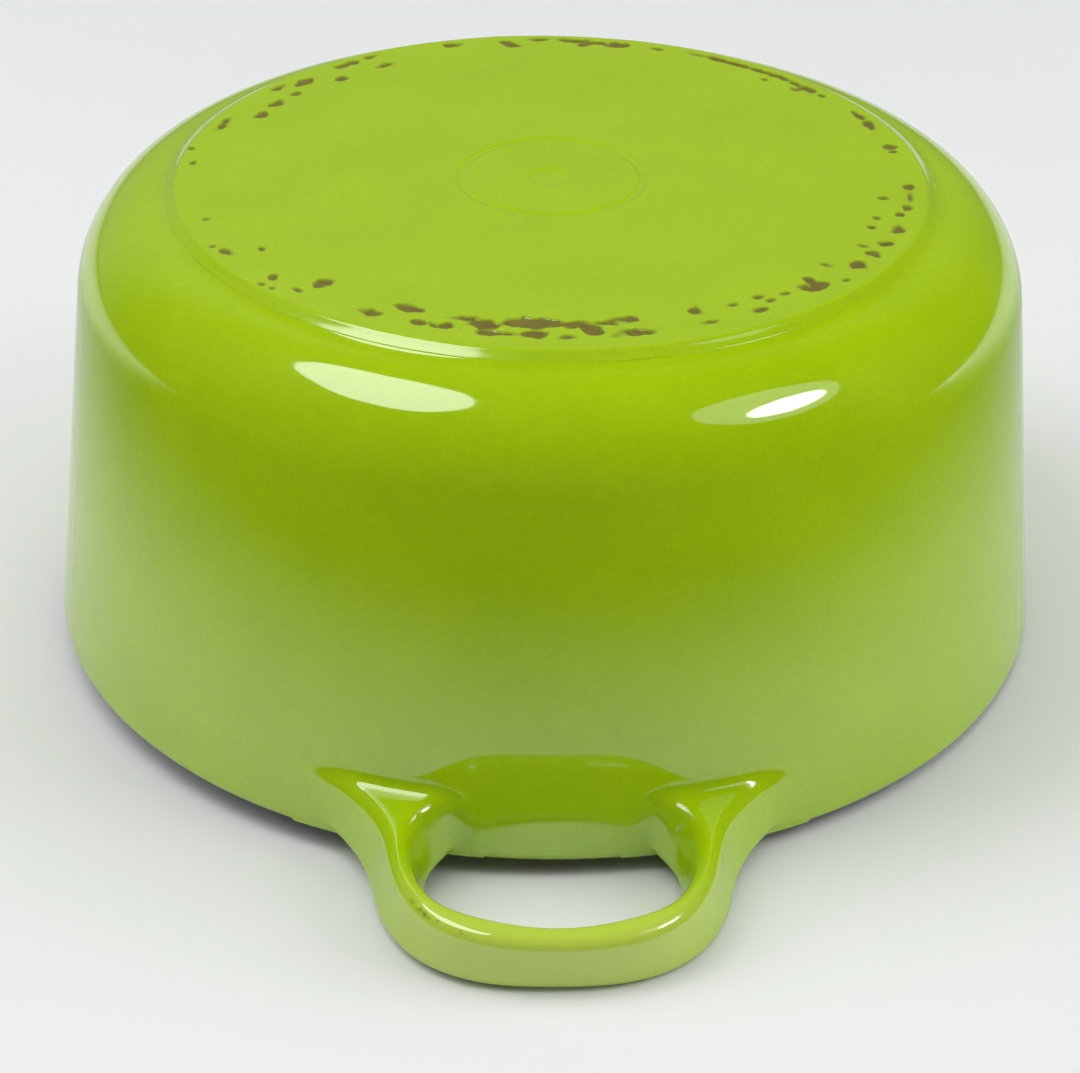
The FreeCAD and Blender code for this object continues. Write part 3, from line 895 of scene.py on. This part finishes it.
def handle_enamel():
    """The same coat on the handles: paler towards the bar, a painted sheen for the hazy reflection of
    its worn gloss, and worn dark along its upper edge.
    """
    material, tree, shader, add = new_material("green_enamel_handle")
    position = add("TexCoord").outputs["Object"]
    colour = enamel_common(add, shader, position, *GLOSSY)
    place = add("SeparateXYZ", {"Vector": position})
    away = add("Math", {0: place.outputs["Y"]}, operation="ABSOLUTE")
    # Painted sheen: the colour turns paler towards the bar, in place of the hazy reflection there.
    painted_sheen = add("MapRange", {"Value": away.outputs[0], "From Min": PAINTED_SHEEN_FROM,
                              "From Max": PAINTED_SHEEN_FULL})
    colour = mix(add, painted_sheen.outputs["Result"], colour, ENAMEL_PAINTED_SHEEN)
    ridge = add("Attribute", attribute_name="ridge").outputs["Fac"]
    line = add("MapRange", {"Value": ridge, "From Min": 0.1, "From Max": 0.55,
                            "To Min": 1.0, "To Max": 0.0})
    patchy = add("TexNoise", {"Vector": position, "Scale": 130.0, "Detail": 5.0,
                              "Roughness": 0.7})
    patches = ramp(add, patchy.outputs["Fac"], [(0.58, grey(0)), (0.66, grey(1))])
    worn = mix(add, 1.0, line.outputs["Result"], patches, "MULTIPLY")
    colour = mix(add, worn, colour, WORN_DARK)
    tree.links.new(colour, shader.inputs["Base Color"])
    return material


def plain_coat(name, dark, light, roughness, gloss):
    """Black or cream coat with slight mottling."""
    material, tree, shader, add = new_material(name)
    position = add("TexCoord").outputs["Object"]
    cloud = add("TexNoise", {"Vector": position, "Scale": 90.0, "Detail": 5.0})
    colour = ramp(add, cloud.outputs["Fac"], [(0.3, dark), (0.7, light)])
    grain = add("TexNoise", {"Vector": position, "Scale": 1200.0, "Detail": 3.0})
    bump = add("Bump", {"Height": grain.outputs["Fac"], "Strength": 0.4,
                        "Distance": 0.00003})
    tree.links.new(colour, shader.inputs["Base Color"])
    tree.links.new(bump.outputs["Normal"], shader.inputs["Normal"])
    shader.inputs["Roughness"].default_value = roughness
    shader.inputs["Coat Weight"].default_value = gloss
    shader.inputs["Coat Roughness"].default_value = 0.1
    return material


def bare_iron():
    """Brown, dull iron as it shows in the chips."""
    material, tree, shader, add = new_material("bare_iron")
    position = add("TexCoord").outputs["Object"]
    cloud = add("TexNoise", {"Vector": position, "Scale": 420.0, "Detail": 6.0,
                             "Roughness": 0.65})
    colour = ramp(add, cloud.outputs["Fac"], [(0.3, IRON_DARK), (0.5, IRON_BROWN),
                                              (0.75, IRON_LIGHT)])
    bump = add("Bump", {"Height": cloud.outputs["Fac"], "Strength": 0.5,
                        "Distance": 0.0001})
    tree.links.new(colour, shader.inputs["Base Color"])
    tree.links.new(bump.outputs["Normal"], shader.inputs["Normal"])
    shader.inputs["Roughness"].default_value = 0.6
    shader.inputs["Metallic"].default_value = 0.15
    return material


# ---------------------------------------------------------------- stage and light
FLOOR_PALE = (0.735, 0.745, 0.748)
FLOOR_HALF = 6.0
SHADE_SHEET_HALF = 2.5            # half width of the dark sheet that paints shade into the pot's reflections
SHADE_SHEET_HEIGHT = 0.0005       # its height above the floor
# The real pot rocks on its two handles until its rim almost touches at the right, so the floor
# slopes up towards +X and lies just clear of the handles.
FLOOR_SLOPE = 0.024
FLOOR_DROP = 0.0002


def flat_sheet(name, half, height, material):
    """Square sheet that belongs to the stage, at a height above the floor."""
    mesh = bpy.data.meshes.new(name)
    corners = []
    for x, y in ((-half, -half), (half, -half), (half, half), (-half, half)):
        corners.append((x, y, height + FLOOR_SLOPE * x - FLOOR_DROP))
    mesh.from_pydata(corners, [], [(0, 1, 2, 3)])
    mesh.materials.append(material)
    sheet = bpy.data.objects.new(name, mesh)
    bpy.context.scene.collection.objects.link(sheet)
    return sheet


def make_floor():
    """Plain pale paper that the pot stands on."""
    material, tree, shader, add = new_material("floor_paper")
    position = add("TexCoord").outputs["Object"]
    cloud = add("TexNoise", {"Vector": position, "Scale": 4.0, "Detail": 2.0})
    darker = tuple(0.985 * level for level in FLOOR_PALE)
    colour = ramp(add, cloud.outputs["Fac"], [(0.3, darker), (0.7, FLOOR_PALE)])
    tree.links.new(colour, shader.inputs["Base Color"])
    shader.inputs["Roughness"].default_value = 0.8
    shader.inputs["Specular IOR Level"].default_value = 0.15
    flat_sheet("floor", FLOOR_HALF, 0, material)


def make_shade_sheet():
    """Painted shade: dark sheet, seen only in the pot's gloss, that darkens its reflection of the
    floor in front and at the sides.
    """
    material, tree, shader, add = new_material("shade_sheet")
    position = add("TexCoord").outputs["Object"]
    place = add("SeparateXYZ", {"Vector": position})
    level = add("VectorMath", {0: position, 1: (0.012, 0, 0)}, operation="ADD")
    away = add("VectorMath", {0: level.outputs[0]}, operation="LENGTH").outputs["Value"]

    def fade(value, start, stop):
        return add("MapRange", {"Value": value, "From Min": start, "From Max": stop},
                   interpolation_type="SMOOTHSTEP").outputs["Result"]

    # Painted shade: clear near the pot, a faintly glowing near-black farther off in front and at the
    # sides.
    dark = add("Math", {0: fade(away, 0.11, 0.25), 1: fade(place.outputs["Y"], 0.25, 0.0)},
               operation="MULTIPLY").outputs[0]
    clear = add("BsdfTransparent")
    dim = add("Emission", {"Color": (0.012, 0.012, 0.012, 1)})
    blend = add("MixShader", {0: dark, 1: clear.outputs[0], 2: dim.outputs[0]})
    tree.links.new(blend.outputs[0], tree.nodes["Material Output"].inputs["Surface"])
    tree.nodes.remove(shader)
    edge = flat_sheet("shade_sheet", SHADE_SHEET_HALF, SHADE_SHEET_HEIGHT, material)
    edge.visible_camera = False
    edge.visible_diffuse = False
    edge.visible_shadow = False


def make_light(name, place, aim, width, height, radiance):
    """Flat round soft light of a given size and brightness, not seen by the camera."""
    data = bpy.data.lights.new(name, "AREA")
    data.shape = "ELLIPSE"
    data.size = width
    data.size_y = height
    data.energy = radiance * math.pi * width * height * math.pi / 4
    light = bpy.data.objects.new(name, data)
    bpy.context.scene.collection.objects.link(light)
    light.location = place
    light.rotation_euler = (Vector(aim) - Vector(place)).to_track_quat("-Z", "Y").to_euler()
    light.visible_camera = False
    return light


def make_world():
    """Dim room, a little lighter behind the pot; plain and pale where the camera sees it."""
    world = bpy.data.worlds.new("studio")
    bpy.context.scene.world = world
    world.use_nodes = True
    background = world.node_tree.nodes["Background"]
    add = node_adder(world.node_tree)
    direction = add("TexCoord").outputs["Generated"]
    way = add("SeparateXYZ", {0: direction})
    back = add("MapRange", {"Value": way.outputs["Y"], "From Min": 0.45,
                            "From Max": 0.85, "To Min": 0.02, "To Max": 0.17},
               interpolation_type="SMOOTHSTEP")
    left = add("MapRange", {"Value": way.outputs["X"], "From Min": 0.6,
                            "From Max": -0.6, "To Min": 0.5, "To Max": 1.5})
    level = add("Math", {0: back.outputs["Result"], 1: left.outputs["Result"]},
                operation="MULTIPLY")
    ray = add("LightPath")
    seen = add("Mix", {0: ray.outputs["Is Camera Ray"], 2: level.outputs[0], 3: 0.80})
    world.node_tree.links.new(seen.outputs[0], background.inputs["Strength"])
    background.inputs["Color"].default_value = (0.97, 1.0, 1.0, 1)


def make_lights():
    """Round softboxes that the gloss reflects, and broad weaker light that it doesn't."""
    middle = (0, 0, 0.04)
    for name, place, aim, width, depth, radiance in (
            ("softbox_left", (-0.375, -0.06, 0.90), (-0.375, -0.06, 0), 0.44, 0.58, 3.6),
            ("softbox_right", (0.635, -0.283, 0.719), middle, 0.31, 0.20, 8.5),
            ("softbox_right_rim", (0.63, -0.29, 0.82), middle, 0.54, 0.52, 1.0)):
        softbox = make_light(name, place, aim, width, depth, radiance)
        softbox.visible_diffuse = False
    for name, place, width, depth, radiance in (
            ("key_left", (-0.375, -0.06, 0.90), 0.5, 0.5, 3.1),
            ("key_right", (0.635, -0.283, 0.719), 0.36, 0.36, 4.4),
            ("fill_top", (0.1, 0.5, 2.2), 2.6, 2.6, 1.50),
            ("fill_left", (-1.15, 0.10, 1.00), 1.2, 1.2, 2.9),
            ("fill_right", (1.35, 0.1, 0.65), 1.2, 1.2, 2.9),
            ("fill_high", (0.1, -0.9, 1.7), 1.2, 1.2, 0.7),
            ("fill_front", (0.1, -1.5, 0.34), 2.0, 0.6, 1.5)):
        fill = make_light(name, place, middle, width, depth, radiance)
        fill.visible_glossy = False


bpy.context.scene.view_settings.view_transform = "Standard"
make_camera()
make_floor()
make_shade_sheet()
make_world()
make_lights()

make_wall(green_enamel())
make_base(base_enamel())
make_handles(handle_enamel())
make_rim(plain_coat("black_enamel_satin", BLACK_DARK, BLACK_LIGHT, 0.5, 0.2))
make_lining(plain_coat("cream_enamel_gloss", CREAM_DARK, CREAM_LIGHT, 0.3, 0.6))
make_iron(bare_iron())

bpy.context.view_layer.update()
